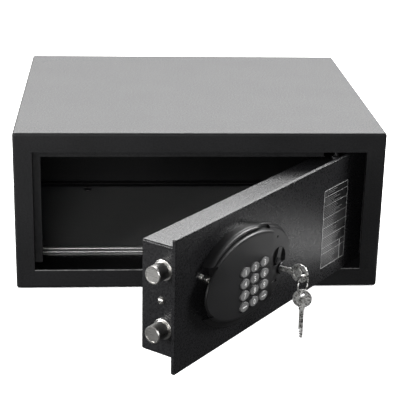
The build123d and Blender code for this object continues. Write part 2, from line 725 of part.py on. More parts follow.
def ring_centre_z():
    return LOCK_Z - RING_DROP - RING_R


def key_ring():
    """Split ring through the holes of both bows: two turns of wire, joined as one."""
    centre = Pos(LOCK_X, FRONT + BOW_Y - BOW_HOLE, ring_centre_z())
    return centre * Rot(90, 0, 0) * Torus(RING_R, WIRE_R)


def spare_key():
    """The second key, hanging blade down from the ring."""
    hole_z = ring_centre_z() - RING_R - RING_DROP
    place = Pos(LOCK_X, FRONT + BOW_Y - BOW_HOLE, hole_z - BOW_HOLE)
    return place * Rot(0, 0, SPARE_TURN) * Rot(-90, 0, 0) * key_blank()


# ---- escutcheon ----

def halves(upper, lower):
    """Joins the upper half of one oval slab to the lower half of another."""
    top = upper & slab(-200, 60, -20, 10, OVAL_Z, 200)
    return top + (lower & slab(-200, 60, -20, 10, 0, OVAL_Z))


def escutcheon_base():
    """Oval base plate, open at the finger recess."""
    upper = oval(OVAL_X, OVAL_Z, OVAL_A, OVAL_B, -BASE_T, 0)
    upper = fillet(front_edges(upper, -BASE_T), 1.5)
    upper += oval(ARC_X, OVAL_Z, ARC_A, ARC_B, -BASE_T, 0)
    lower = oval(LOWER_X, OVAL_Z, LOWER_A, LOWER_B, -BASE_T, 0)
    lower = fillet(front_edges(lower, -BASE_T), 1.5)
    base = halves(upper, lower)
    base -= slab(-200, RECESS_X, -BASE_T - 1, 1, RECESS_Z0, RECESS_Z1)
    base -= rod_y(LOCK_X, LOCK_Z, BARREL_R, -5, 1)
    base -= slab(PAD_X - 18, PAD_X + 18, -BASE_T - 1, 1, OVAL_Z + 18, OVAL_Z + 30)
    for x, z in fixing_points():
        base -= rod_y(x, z, 1.6, -BASE_T - 1, 1)
    return base


def flared_pad(gap, flare):
    """The keypad's upper outline with a gap round it, opening out towards the front."""
    straight = oval(PAD_X, OVAL_Z, PAD_A + gap, PAD_B + gap, -PAD_RISE - 1, 1)
    sections = []
    for depth, spread in ((-PAD_RISE + flare, 0.0), (-PAD_RISE + 1.2, 1.2), (-PAD_RISE - 0.2, flare)):
        face = Plane(origin=(PAD_X, FRONT + depth, OVAL_Z), x_dir=(1, 0, 0), z_dir=(0, -1, 0))
        sections.append(face * Ellipse(PAD_A + gap + spread, PAD_B + gap + spread))
    return straight + loft(sections, ruled=True)


def grip_arc():
    """Raised round backed arc, cut square at its free end and running out over the lock side."""
    arc = oval(ARC_X, OVAL_Z, ARC_A, ARC_B, -PAD_RISE, -BASE_T)
    arc = fillet(front_edges(arc, -PAD_RISE), ARC_ROUND)
    arc -= flared_pad(ARC_GAP, 3.0)
    arc &= slab(-200, ARC_SLOPE_X1, -20, 0, ARC_END_Z, 200)
    arc -= slab(-200, ARC_X, -20, 0, 0, RECESS_Z1)
    slope = [
        (ARC_SLOPE_X0, FRONT - PAD_RISE - 1, 0),
        (ARC_SLOPE_X1 + 1, FRONT - PAD_RISE - 1, 0),
        (ARC_SLOPE_X1 + 1, FRONT - ARC_LOW, 0),
        (ARC_SLOPE_X0, FRONT - PAD_RISE, 0),
    ]
    return arc - extrude(make_face(Polyline(*slope, close=True)), CAB_H, dir=(0, 0, 1))


def pad_slab(inset, front, rear, edge_r):
    """A slab of the keypad's outline, drawn in by inset; edge_r rounds its front edge."""
    upper = oval(PAD_X, OVAL_Z, PAD_A - inset, PAD_B - inset, front, rear)
    lower = oval(PAD_LOWER_X, OVAL_Z, PAD_LOWER_A - inset, PAD_LOWER_B - inset, front, rear)
    if edge_r > 0:
        upper = fillet(front_edges(upper, front), edge_r)
        lower = fillet(front_edges(lower, front), edge_r)
    return halves(upper, lower)


def keypad_panel():
    """Hollow keypad moulding with a stepped lip over the finger recess."""
    panel = pad_slab(0, -PAD_RISE, -BASE_T, PAD_EDGE_R)
    lip_zone = slab(-200, LIP_X, -20, 0, LIP_Z0, LIP_Z1)
    lip = pad_slab(LIP_STEP, -PAD_RISE, -BASE_T, 1.5) & lip_zone
    panel = (panel - lip_zone) + lip
    inner = pad_slab(PAD_WALL + LIP_STEP, -PAD_RISE + PAD_SKIN, 0, 0)
    keep = slab(RECESS_X + PAD_WALL, PAD_EDGE_X - PAD_WALL, -20, 20, 0, 200)
    panel -= inner & keep
    panel -= slab(-200, RECESS_X, -PAD_RISE + PAD_SKIN, 0, RECESS_Z0, RECESS_Z1)
    panel -= slab(PAD_EDGE_X, 60, -20, 20, 0, 200)
    for x, z in button_points():
        panel -= oval(x, z, BUTTON_A + BUTTON_GAP, BUTTON_B + BUTTON_GAP, -20, 0)
    return panel


def lock_trim():
    """Lower section round the lock, with the shutter's recess."""
    upper = oval(TRIM_X, OVAL_Z, TRIM_A, TRIM_B, -TRIM_RISE, -BASE_T)
    lower = oval(TRIM_X, OVAL_Z, TRIM_A, TRIM_LOWER_B, -TRIM_RISE, -BASE_T)
    upper = fillet(front_edges(upper, -TRIM_RISE), 3.0)
    lower = fillet(front_edges(lower, -TRIM_RISE), 3.0)
    trim = halves(upper, lower)
    trim &= slab(PAD_EDGE_X + 0.4, 60, -20, 0, 0, 200)
    trim -= rod_y(LOCK_X, LOCK_Z, BARREL_R, -20, 0)
    sweep = rod_y(SHUTTER_X, SHUTTER_Z, SHUTTER_SWEEP_R, -TRIM_RISE - 1, -BASE_T - 0.5)
    sweep &= slab(-60, 60, -20, 0, SHUTTER_Z - 5, 200)
    trim -= sweep
    trim -= rod_y(SHUTTER_X, SHUTTER_Z, SHUTTER_BOSS_R + 0.3, -TRIM_RISE - 1, -BASE_T - 0.5)
    trim -= rod_y(-15.0, 122.5, 1.4, -TRIM_RISE - 1, -TRIM_RISE + 2)
    return trim - slab(-22.5, -13.5, -TRIM_RISE - 1, -TRIM_RISE + 2, 68.4, 71.0)


def keyhole_shutter():
    """Swivelling shutter, turned clear of the keyhole."""
    low = -TRIM_RISE + 0.2
    high = -BASE_T - 0.7
    shutter = rod_y(SHUTTER_X, SHUTTER_Z, SHUTTER_BOSS_R, low, high)
    half_w = SHUTTER_ARM_W / 2
    arm = slab(-half_w, half_w, low, high, 0, SHUTTER_SWEEP_R)
    arm = Pos(SHUTTER_X, 0, SHUTTER_Z) * Rot(0, SHUTTER_TILT, 0) * arm
    arm &= rod_y(SHUTTER_X, SHUTTER_Z, SHUTTER_SWEEP_R - 0.5, low, high)
    shutter += arm
    return shutter - rod_y(SHUTTER_X, SHUTTER_Z, 1.5 + RUN, -20, 0)


def shutter_screw():
    """Slotted pivot screw of the shutter."""
    head_low = -TRIM_RISE - 0.9
    screw = rod_y(SHUTTER_X, SHUTTER_Z, 3.0, head_low, -TRIM_RISE)
    screw += rod_y(SHUTTER_X, SHUTTER_Z, 1.5, -TRIM_RISE, -BASE_T - 0.5)
    return screw - slab(SHUTTER_X - 0.6, SHUTTER_X + 0.6, -10, -TRIM_RISE - 0.4,
                        SHUTTER_Z - 2.4, SHUTTER_Z + 2.4)


def escutcheon_screws():
    """Screws from inside the door into the escutcheon base."""
    screws = []
    for x, z in fixing_points():
        screw = rod_y(x, z, 3.5, PLATE_T, PLATE_T + 2.2)
        screw += rod_y(x, z, 1.6, -BASE_T, PLATE_T)
        screws.append(screw)
    return Compound(children=screws)


def contact_studs():
    """Snap contacts for a block battery: a hollow crown and a domed stud, let into the plate."""
    crown_at, stud_at = stud_points()
    crown = rod_y(*crown_at, CROWN_R, -CROWN_RISE, 0)
    crown = fillet(front_edges(crown, -CROWN_RISE), 0.5)
    crown -= rod_y(*crown_at, CROWN_BORE_R, -CROWN_RISE - 1, -0.8)
    stud = rod_y(*stud_at, STUD_R + 0.5, -1.2, 0) + rod_y(*stud_at, STUD_R, -STUD_RISE, -1.2)
    stud = fillet(front_edges(stud, -STUD_RISE), 1.3)
    tails = [rod_y(x, z, 1.5, 0, PLATE_T + 5) for x, z in stud_points()]
    return Compound(children=[crown + tails[0], stud + tails[1]])


def button_points():
    """Centres of the keys, row by row from the upper one on the closing side."""
    points = []
    for row in range(BUTTON_ROWS):
        for column in range(BUTTON_COLUMNS):
            x = BUTTON_X0 + BUTTON_PITCH_X * column
            points.append((x, BUTTON_Z0 - BUTTON_PITCH_Z * row))
    return points


def button(x, z):
    """One oval key cap with a retaining flange under the keypad face."""
    face = -PAD_RISE - BUTTON_PROUD
    under = -PAD_RISE + PAD_SKIN
    cap = oval(x, z, BUTTON_A, BUTTON_B, face, under + 1)
    cap = fillet(front_edges(cap, face), 0.7)
    flange = oval(x, z, BUTTON_A + BUTTON_STEP, BUTTON_B + BUTTON_STEP, under + 0.1, under + 1)
    return cap + flange


def keypad_mat():
    """Rubber mat with a low dome under each key."""
    x0 = BUTTON_X0 - 14
    x1 = BUTTON_X0 + BUTTON_PITCH_X * 2 + 11
    z1 = BUTTON_Z0 + 10
    z0 = BUTTON_Z0 - BUTTON_PITCH_Z * 3 - 10
    mat = slab(x0, x1, -5.6, -4.6, z0, z1)
    mat &= pad_room()
    for x, z in button_points():
        mat += oval(x, z, 4.0, 3.0, -6.9, -5.6)
    return mat


def keypad_board():
    """Keypad circuit board on the base plate."""
    x0 = BUTTON_X0 - 16
    x1 = BUTTON_X0 + BUTTON_PITCH_X * 2 + 12
    z1 = BUTTON_Z0 + 12
    z0 = BUTTON_Z0 - BUTTON_PITCH_Z * 3 - 12
    board = slab(x0, x1, -4.6, -3.4, z0, z1)
    for z in (z0 + 2, z1 - 4):
        board += slab(x0 + 2, x1 - 2, -3.4, -BASE_T, z, z + 2)
    return board & pad_room()


def pad_room():
    """The space inside the keypad moulding."""
    return pad_slab(PAD_WALL + LIP_STEP + 1, -PAD_RISE, 0, 0)


# ---- electronics and power in the door ----

def control_board():
    """Main circuit board with its chips, buzzer and sockets."""
    board = slab(36, 94, 10, 11.6, 56, 144)
    board += slab(52, 66, 11.6, 13.4, 92, 106)
    board += slab(74, 84, 11.6, 13.2, 70, 76)
    board += slab(44, 60, 11.6, 17.6, 126, 134)
    board += slab(70, 90, 11.6, 17.6, 126, 134)
    board += rod_y(78, 112, 6, 11.6, 19.6)
    return board + rod_y(50, 72, 4, 11.6, 22)


def battery_box():
    """Open tray behind the hatch for four cells."""
    half_w = HATCH_W / 2 + 3
    half_h = HATCH_H / 2 + 2
    tray = slab(BATTERY_X - half_w, BATTERY_X + half_w, TRAY_Y, BOX_REAR,
                BATTERY_Z - half_h, BATTERY_Z + half_h)
    tray -= slab(BATTERY_X - half_w + 2, BATTERY_X + half_w - 2, TRAY_Y + 1.5, BOX_REAR + 1,
                 BATTERY_Z - half_h + 2, BATTERY_Z + half_h - 2)
    return tray


def battery_cells():
    """Four round cells, side by side, turned end for end."""
    cells = []
    for number in range(4):
        z = BATTERY_Z + CELL_PITCH * (number - 1.5)
        way = 1 if number % 2 == 0 else -1
        x0 = BATTERY_X - CELL_LEN / 2
        depth = TRAY_Y + 1.7 + CELL_R
        cell = rod_x(depth, z, CELL_R, x0, x0 + CELL_LEN)
        cell = chamfer(cell.edges().filter_by(GeomType.CIRCLE), 0.6)
        tip = BATTERY_X + way * CELL_LEN / 2
        low, high = sorted((tip, tip + way * 1.5))
        cells.append(cell + rod_x(depth, z, 2.6, low, high))
    return Compound(children=cells)


CABINET = {
    "body_shell": body_shell,
    "back_panel": back_panel,
    "door_stop_frame": door_stop_frame,
    "hinge_blocks": hinge_blocks,
    "hinge_bushes": hinge_bushes,
    "thrust_washer": thrust_washer,
    "floor_mat": floor_mat,
    "mat_edge_trim": mat_edge_trim,
}

DOOR = {
    "door_plate": door_plate,
    "door_box": door_box,
    "inner_cover": inner_cover,
    "cover_screws": cover_screws,
    "battery_lid": battery_lid,
    "hinge_pin_upper": hinge_pin_upper,
    "hinge_pin_lower": hinge_pin_lower,
    "side_screw": side_screw,
    "label_sheet": label_sheet,
    "bolt_bushes": bolt_bushes,
    "bolt_carriage": bolt_carriage,
    "rack_bar": rack_bar,
    "drive_pinion": drive_pinion,
    "gearbox": gearbox,
    "drive_motor": drive_motor,
    "chassis_plate": chassis_plate,
    "chassis_standoffs": chassis_standoffs,
    "bar_guides": bar_guides,
    "lock_barrel": lock_barrel,
    "lock_nut": lock_nut,
    "key_plug": key_plug,
    "override_gear": override_gear,
    "lock_key": lock_key,
    "key_ring": key_ring,
    "spare_key": spare_key,
    "escutcheon_base": escutcheon_base,
    "grip_arc": grip_arc,
    "keypad_panel": keypad_panel,
    "lock_trim": lock_trim,
    "keyhole_shutter": keyhole_shutter,
    "shutter_screw": shutter_screw,
    "escutcheon_screws": escutcheon_screws,
    "contact_studs": contact_studs,
    "keypad_mat": keypad_mat,
    "keypad_board": keypad_board,
    "control_board": control_board,
    "battery_box": battery_box,
    "battery_cells": battery_cells,
}


def main():
    os.makedirs("parts", exist_ok=True)
    for name, make in CABINET.items():
        export_step(make(), f"parts/{name}.step")
    for name, make in DOOR.items():
        export_step(hung(make()), f"parts/{name}.step")
    for name, z in zip(("bolt_upper", "bolt_lower"), BOLT_Z):
        export_step(hung(bolt(z)), f"parts/{name}.step")
    for number, (x, z) in enumerate(button_points(), start=1):
        export_step(hung(button(x, z)), f"parts/button_{number:02d}.step")


main()
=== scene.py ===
import json
import math
import random

import bmesh
import bpy
from mathutils import Matrix, Vector


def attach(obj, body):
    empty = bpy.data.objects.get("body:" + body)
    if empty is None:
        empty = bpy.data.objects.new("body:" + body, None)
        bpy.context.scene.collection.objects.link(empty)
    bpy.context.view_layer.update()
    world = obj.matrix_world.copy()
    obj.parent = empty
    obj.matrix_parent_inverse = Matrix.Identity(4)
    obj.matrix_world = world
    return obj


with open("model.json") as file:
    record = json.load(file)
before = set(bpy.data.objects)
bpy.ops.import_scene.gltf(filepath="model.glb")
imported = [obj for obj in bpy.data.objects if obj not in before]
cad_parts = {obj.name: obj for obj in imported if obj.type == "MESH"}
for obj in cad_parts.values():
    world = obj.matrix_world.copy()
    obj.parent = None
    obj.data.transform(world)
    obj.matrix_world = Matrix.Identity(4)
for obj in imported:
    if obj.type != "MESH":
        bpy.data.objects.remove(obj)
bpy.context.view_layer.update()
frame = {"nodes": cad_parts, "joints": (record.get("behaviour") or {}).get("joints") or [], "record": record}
NODES = frame["nodes"]
SLOT_OF = {row["node"]: row["material_slot"] for row in frame["record"]["subparts"]}
HINGE = next(joint for joint in frame["joints"] if joint["name"] == "door_hinge")

MM = 0.001
FRONT_Y = -0.2                      # the cabinet's front plane, m


# ---- the open door's own axes ----

PIVOT = Vector((HINGE["pos_m"][0], HINGE["pos_m"][1], 0.0))
DOOR_TURN = math.radians(-HINGE["range_deg"][0])
DOOR_MATRIX = (Matrix.Translation(PIVOT) @ Matrix.Rotation(DOOR_TURN, 4, "Z")
               @ Matrix.Translation(-PIVOT))
DOOR_RIGHT = (DOOR_MATRIX.to_3x3() @ Vector((1, 0, 0))).normalized()
DOOR_OUT = (DOOR_MATRIX.to_3x3() @ Vector((0, -1, 0))).normalized()


def door_frame_at(x, depth, z):
    """Axes at a point of the door: X to its right, Y up, Z out of it.

    The point is given in mm as on the closed door, its depth measured back from the front.
    """
    point = DOOR_MATRIX @ Vector((x * MM, FRONT_Y + depth * MM, z * MM))
    turn = Matrix((DOOR_RIGHT, Vector((0, 0, 1)), DOOR_OUT)).transposed().to_4x4()
    return Matrix.Translation(point) @ turn


# ---- shader helpers ----

class Shader:
    """A material with one Principled shader and short calls for the nodes that feed it.

    Scales are per metre of the object's own coordinates.
    """

    SOCKETS = {"metallic": "Metallic", "specular": "Specular IOR Level",
               "coat": "Coat Weight", "coat_rough": "Coat Roughness",
               "sheen": "Sheen Weight", "sheen_rough": "Sheen Roughness"}

    def __init__(self, name):
        self.mat = bpy.data.materials.new(name)
        self.mat.use_nodes = True
        self.tree = self.mat.node_tree
        self.bsdf = self.tree.nodes["Principled BSDF"]
        self.coord = self.tree.nodes.new("ShaderNodeTexCoord").outputs["Object"]

    def node(self, kind, **values):
        made = self.tree.nodes.new(kind)
        for key, value in values.items():
            setattr(made, key, value)
        return made

    def link(self, source, target):
        self.tree.links.new(source, target)

    def constant(self, **values):
        for key, value in values.items():
            self.bsdf.inputs[self.SOCKETS[key]].default_value = value

    def scaled(self, scale):
        """Object coordinates multiplied by (x, y, z)."""
        made = self.node("ShaderNodeVectorMath", operation="MULTIPLY")
        self.link(self.coord, made.inputs[0])
        made.inputs[1].default_value = scale
        return made.outputs[0]

    def axis(self, name):
        made = self.node("ShaderNodeSeparateXYZ")
        self.link(self.coord, made.inputs[0])
        return made.outputs[name]

    def noise(self, scale, detail, rough, vector=None):
        made = self.node("ShaderNodeTexNoise")
        made.inputs["Scale"].default_value = scale
        made.inputs["Detail"].default_value = detail
        made.inputs["Roughness"].default_value = rough
        self.link(vector or self.coord, made.inputs["Vector"])
        return made.outputs["Fac"]

    def voronoi(self, scale):
        """Distance to the nearest of a field of scattered points."""
        made = self.node("ShaderNodeTexVoronoi", feature="F1")
        made.inputs["Scale"].default_value = scale
        self.link(self.coord, made.inputs["Vector"])
        return made.outputs["Distance"]

    def math(self, operation, a, b=0.0):
        made = self.node("ShaderNodeMath", operation=operation)
        for socket, value in zip(made.inputs, (a, b)):
            if isinstance(value, (int, float)):
                socket.default_value = value
            else:
                self.link(value, socket)
        return made.outputs[0]

    def blend(self, *parts):
        """Weighted sum: each part is (value, weight)."""
        *rest, total = [self.math("MULTIPLY", value, weight) for value, weight in parts]
        for term in reversed(rest):
            total = self.math("ADD", term, total)
        return total

    def remap(self, value, source, target):
        """Maps the span source, a pair of low and high, on to the span target."""
        made = self.node("ShaderNodeMapRange")
        for name, number in zip(("From Min", "From Max", "To Min", "To Max"), source + target):
            made.inputs[name].default_value = number
        self.link(value, made.inputs["Value"])
        return made.outputs["Result"]

    def ramp(self, value, *stops):
        """Colour ramp: each stop is (position, (r, g, b))."""
        made = self.node("ShaderNodeValToRGB")
        elements = made.color_ramp.elements
        while len(elements) < len(stops):
            elements.new(0.5)
        for element, (position, colour) in zip(elements, stops):
            element.position = position
            element.color = (*colour, 1.0)
        self.link(value, made.inputs["Fac"])
        return made.outputs["Color"]

    def mix(self, factor, a, b):
        """The colour a where factor is 0 and b where it is 1."""
        made = self.node("ShaderNodeMix", data_type="RGBA")
        sockets = (made.inputs[0], made.inputs[6], made.inputs[7])
        for socket, value in zip(sockets, (factor, a, b)):
            if isinstance(value, tuple):
                socket.default_value = (*value, 1.0)
            else:
                self.link(value, socket)
        return made.outputs[2]

    def colour(self, source):
        self.link(source, self.bsdf.inputs["Base Color"])

    def rough(self, source):
        self.link(source, self.bsdf.inputs["Roughness"])

    def bump(self, height, strength, distance):
        made = self.node("ShaderNodeBump")
        made.inputs["Strength"].default_value = strength
        made.inputs["Distance"].default_value = distance
        self.link(height, made.inputs["Height"])
        self.link(made.outputs["Normal"], self.bsdf.inputs["Normal"])


# ---- materials of the CAD nodes ----
# dark and light are the ends of the colour, rough is the pair of least and greatest roughness.

SILL_Z = 0.024                      # upper edge of the border below the opening, m
SILL_HALF = 0.202                   # half the width of the opening
WEAR_AND_HIGHLIGHT_UP = 0.0009                    # reach of the painted highlight and rubbed band above and below the edge
WEAR_AND_HIGHLIGHT_BACK = 0.0012                  # its reach behind the front plane
# light grey for the sill's front edge: a painted highlight of the edge together with rubbed paint
RUBBED_PAINT_AND_HIGHLIGHT = (0.3, 0.3, 0.3)


def sill_wear_and_highlight(s):
    """1 along the sill's front edge, else 0: a painted highlight of the edge, broken into patches where
    bolts and fingers have rubbed the paint off.
    """
    from_edge = s.math("ABSOLUTE", s.math("SUBTRACT", s.axis("Z"), SILL_Z))
    near_edge = s.math("LESS_THAN", from_edge, WEAR_AND_HIGHLIGHT_UP)
    on_front = s.math("LESS_THAN", s.axis("Y"), FRONT_Y + WEAR_AND_HIGHLIGHT_BACK)
    between = s.math("LESS_THAN", s.math("ABSOLUTE", s.axis("X")), SILL_HALF)
    patches = s.remap(s.noise(scale=130, detail=4.0, rough=0.7), (0.36, 0.56), (0.25, 1.0))
    return s.math("MULTIPLY", s.math("MULTIPLY", near_edge, on_front),
                  s.math("MULTIPLY", between, patches))


def powder_coat(name, dark, light, rough, specular, worn_sill_and_highlight=False):
    """Fine texture powder coat: a tight orange peel over broad, faint changes of tone."""
    s = Shader(name)
    s.constant(specular=specular)
    peel = s.noise(scale=500, detail=3.0, rough=0.6)
    grain = s.noise(scale=3800, detail=2.0, rough=0.6)
    broad = s.noise(scale=14, detail=3.0, rough=0.55)
    paint = s.ramp(s.blend((peel, 0.75), (broad, 0.25)), (0.3, dark), (0.72, light))
    # on the shell, the sill's front edge gets a painted highlight mixed with rubbed paint
    s.colour(s.mix(sill_wear_and_highlight(s), paint, RUBBED_PAINT_AND_HIGHLIGHT) if worn_sill_and_highlight else paint)
    s.rough(s.remap(s.blend((peel, 0.85), (broad, 0.15)), (0.38, 0.62), rough))
    s.bump(s.blend((peel, 0.7), (grain, 0.3)), strength=0.5, distance=0.0004)
    return s.mat


def moulded_plastic(name, dark, light, rough, grain_scale=2600, depth=0.12):
    """Moulded plastic with a fine spark eroded grain."""
    s = Shader(name)
    s.constant(specular=0.32)
    grain = s.noise(scale=grain_scale, detail=2.0, rough=0.6)
    broad = s.noise(scale=22, detail=2.0, rough=0.5)
    s.colour(s.ramp(s.blend((grain, 0.5), (broad, 0.5)), (0.35, dark), (0.7, light)))
    s.rough(s.remap(broad, (0.35, 0.65), rough))
    s.bump(grain, strength=depth, distance=0.00012)
    return s.mat


def metal(name, dark, light, rough, scratch=(90, 90, 2400), metallic=1.0):
    """Plated or machined metal with a cloudy tarnish and tool marks, stretched by scratch."""
    s = Shader(name)
    s.constant(metallic=metallic)
    cloud = s.noise(scale=160, detail=4.0, rough=0.6)
    marks = s.noise(scale=1.0, detail=3.0, rough=0.6, vector=s.scaled(scratch))
    s.colour(s.ramp(s.blend((cloud, 0.55), (marks, 0.45)), (0.32, dark), (0.66, light)))
    s.rough(s.remap(marks, (0.3, 0.7), rough))
    s.bump(marks, strength=0.06, distance=0.00008)
    return s.mat


def key_metal_and_highlights(name):
    """Nickel silver keys with painted highlights: noise scatters bright spots and dull patches over the
    metal.
    """
    s = Shader(name)
    s.constant(metallic=0.8)
    cloud = s.noise(scale=230, detail=4.0, rough=0.7)
    tone = s.blend((s.voronoi(380), 0.5), (cloud, 0.6))
    # painted highlights: the top stop paints near white spots and the lowest dull dark patches, placed by
    # noise alone
    s.colour(s.ramp(tone, (0.36, (0.08, 0.079, 0.076)), (0.5, (0.7, 0.69, 0.67)),
                    (0.62, (0.98, 0.97, 0.95))))
    s.rough(s.remap(cloud, (0.3, 0.7), (0.18, 0.42)))
    s.bump(tone, strength=0.8, distance=0.0006)
    return s.mat


def carpet(name):
    """Needle felt: short tangled fibres with a mottled tone."""
    s = Shader(name)
    s.constant(specular=0.1, sheen=0.35, sheen_rough=0.5)
    fibre = s.noise(scale=2200, detail=4.0, rough=0.75)
    tuft = s.voronoi(900)
    mottle = s.noise(scale=60, detail=4.0, rough=0.6)
    tone = s.blend((fibre, 0.45), (tuft, 0.35), (mottle, 0.3))
    s.colour(s.ramp(tone, (0.3, (0.008, 0.008, 0.0085)), (0.75, (0.044, 0.044, 0.045))))
    s.rough(s.remap(mottle, (0.3, 0.7), (0.8, 0.95)))
    s.bump(tone, strength=0.9, distance=0.0006)
    return s.mat


TRACK_PITCH = 0.0022                # copper tracks on a board, m
TRACK_WIDTH = 0.0006
PAD_REACH = 0.18                    # part of a voronoi cell that a solder pad fills


def circuit_board(name):
    """Solder mask over copper tracks, with a faint pattern of pads."""
    s = Shader(name)
    s.constant(specular=0.5)
    cells = s.voronoi(260)
    tracks = s.math("LESS_THAN", s.math("PINGPONG", s.axis("Z"), TRACK_PITCH), TRACK_WIDTH)
    mask = s.mix(tracks, (0.008, 0.07, 0.03), (0.02, 0.16, 0.07))
    s.colour(s.mix(s.math("LESS_THAN", cells, PAD_REACH), mask, (0.5, 0.48, 0.42)))
    s.rough(s.remap(cells, (0.0, 1.0), (0.25, 0.45)))
    s.bump(tracks, strength=0.2, distance=0.0001)
    return s.mat


def cell_sleeve(name):
    """Shrink sleeve of a round cell: dark with copper coloured patches under a clear coat."""
    s = Shader(name)
    s.constant(specular=0.5, coat=0.4, coat_rough=0.15)
    soft = s.noise(scale=300, detail=3.0, rough=0.5)
    patch = s.math("GREATER_THAN", s.noise(scale=24, detail=0.0, rough=0.0), 0.56)
    base = s.mix(patch, (0.02, 0.02, 0.024), (0.4, 0.17, 0.05))
    s.colour(s.mix(s.math("MULTIPLY", soft, 0.25), base, (0.12, 0.12, 0.12)))
    s.rough(s.remap(soft, (0.3, 0.7), (0.25, 0.4)))
    s.bump(soft, strength=0.1, distance=0.0001)
    return s.mat


MATERIALS = {
    "shell_powder_coat": powder_coat("shell_powder_coat", (0.006, 0.006, 0.0065),
                                     (0.02, 0.02, 0.0215), (0.35, 0.53), 0.28, worn_sill_and_highlight=True),
    "door_powder_coat": powder_coat("door_powder_coat", (0.005, 0.005, 0.0055),
                                    (0.018, 0.018, 0.0195), (0.23, 0.37), 0.3),
    "bronze": metal("bronze", (0.3, 0.17, 0.07), (0.56, 0.36, 0.17), (0.28, 0.45)),
    "white_nylon": moulded_plastic("white_nylon", (0.58, 0.56, 0.5), (0.74, 0.72, 0.66),
                                   (0.4, 0.55)),
    "grey_carpet": carpet("grey_carpet"),
    "satin_strip": metal("satin_strip", (0.78, 0.78, 0.77), (0.95, 0.95, 0.94), (0.28, 0.38),
                         scratch=(40, 2600, 2600), metallic=0.6),
    "nickel_plate": metal("nickel_plate", (0.5, 0.49, 0.47), (0.74, 0.73, 0.71), (0.26, 0.36)),
    "black_nickel": metal("black_nickel", (0.02, 0.02, 0.021), (0.07, 0.07, 0.073),
                          (0.34, 0.48)),
    "zinc_plate": metal("zinc_plate", (0.36, 0.37, 0.4), (0.6, 0.61, 0.63), (0.3, 0.46)),
    "brass_parts": metal("brass_parts", (0.36, 0.24, 0.08), (0.66, 0.5, 0.22), (0.22, 0.4)),
    "key_nickel": key_metal_and_highlights("key_nickel"),
    "black_plastic": moulded_plastic("black_plastic", (0.009, 0.009, 0.0095),
                                     (0.02, 0.02, 0.021), (0.33, 0.41)),
    "key_cap_grey": moulded_plastic("key_cap_grey", (0.13, 0.13, 0.13), (0.27, 0.27, 0.27),
                                    (0.42, 0.55), grain_scale=3200, depth=0.2),
    "pad_rubber": moulded_plastic("pad_rubber", (0.02, 0.02, 0.02), (0.05, 0.05, 0.05),
                                  (0.6, 0.75)),
    "circuit_board": circuit_board("circuit_board"),
    "motor_can": metal("motor_can", (0.4, 0.4, 0.4), (0.66, 0.66, 0.66), (0.22, 0.36)),
    "cell_sleeve": cell_sleeve("cell_sleeve"),
    "printed_label": moulded_plastic("printed_label", (0.012, 0.012, 0.0125),
                                     (0.03, 0.03, 0.031), (0.24, 0.34),
                                     grain_scale=1800, depth=0.05),
}


def finish_node(name):
    """Gives a CAD node the material of its slot."""
    thing = NODES[name]
    thing.data.materials.clear()
    thing.data.materials.append(MATERIALS[SLOT_OF[name]])


for node_name in NODES:
    finish_node(node_name)


# ---- small pieces built in mesh code ----

def add_object(name, bm, material):
    mesh = bpy.data.meshes.new(name)
    bm.to_mesh(mesh)
    bm.free()
    thing = bpy.data.objects.new(name, mesh)
    bpy.context.scene.collection.objects.link(thing)
    thing.data.materials.append(material)
    return thing


def add_piece(name, bm, body, material):
    thing = add_object(name, bm, material)
    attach(thing, body)


# ---- print on the keys ----

def print_ink(name, dark, light, rough):
    """Screen printed ink: slightly uneven cover with a dry surface."""
    s = Shader(name)
    s.constant(specular=0.35)
    cover = s.noise(scale=1400, detail=3.0, rough=0.6)
    s.colour(s.ramp(cover, (0.3, dark), (0.62, light)))
    s.rough(s.remap(cover, (0.3, 0.7), rough))
    s.bump(cover, strength=0.1, distance=0.00005)
    return s.mat


KEY_INK = print_ink("key_ink", (0.8, 0.8, 0.79), (0.95, 0.95, 0.94), (0.4, 0.55))
SHEET_INK = print_ink("sheet_ink", (0.32, 0.32, 0.32), (0.6, 0.6, 0.6), (0.35, 0.5))
SHEET_GREY = print_ink("sheet_grey", (0.05, 0.05, 0.05), (0.17, 0.17, 0.17), (0.35, 0.5))

# All in mm.
INK = 0.03                          # thickness of print
KEY_FACE_DEPTH = -13.6              # face of the key caps, in front of the door
KEY_X0 = -90.5                      # middle of the first key
KEY_Z0 = 106.4
KEY_PITCH_X = 19.0
KEY_PITCH_Z = 13.45
KEY_COLUMNS = 3
KEY_MARKS = "123456789-0>"
DIGIT_HEIGHT = 6.0
FONT_PER_HEIGHT = 1.4               # type size of a digit of height 1
STROKE_PER_HEIGHT = 0.018           # what its strokes gain on each side
BAR_HALF = 4.2                      # the bar on the left function key
BAR_THICK_HALF = 0.75
SHAFT_THICK_HALF = 0.6              # the arrow on the right function key
HEAD_START = 1.6
HEAD_TIP = 4.6
HEAD_HALF = 2.0


def add_flat_strip(bm, x0, x1, y0, y1, thick=INK):
    """A thin raised rectangle in the XY plane, in mm."""
    made = bmesh.ops.create_cube(bm, size=1.0)
    for v in made["verts"]:
        v.co = Vector(((x0 if v.co.x < 0 else x1) * MM, (y0 if v.co.y < 0 else y1) * MM,
                       (0 if v.co.z < 0 else thick) * MM))


def add_arrow(bm):
    add_flat_strip(bm, -BAR_HALF, HEAD_START, -SHAFT_THICK_HALF, SHAFT_THICK_HALF)
    corners = ((HEAD_START, -HEAD_HALF), (HEAD_TIP, 0.0), (HEAD_START, HEAD_HALF))
    bm.faces.new([bm.verts.new(Vector((x * MM, y * MM, INK * MM))) for x, y in corners])


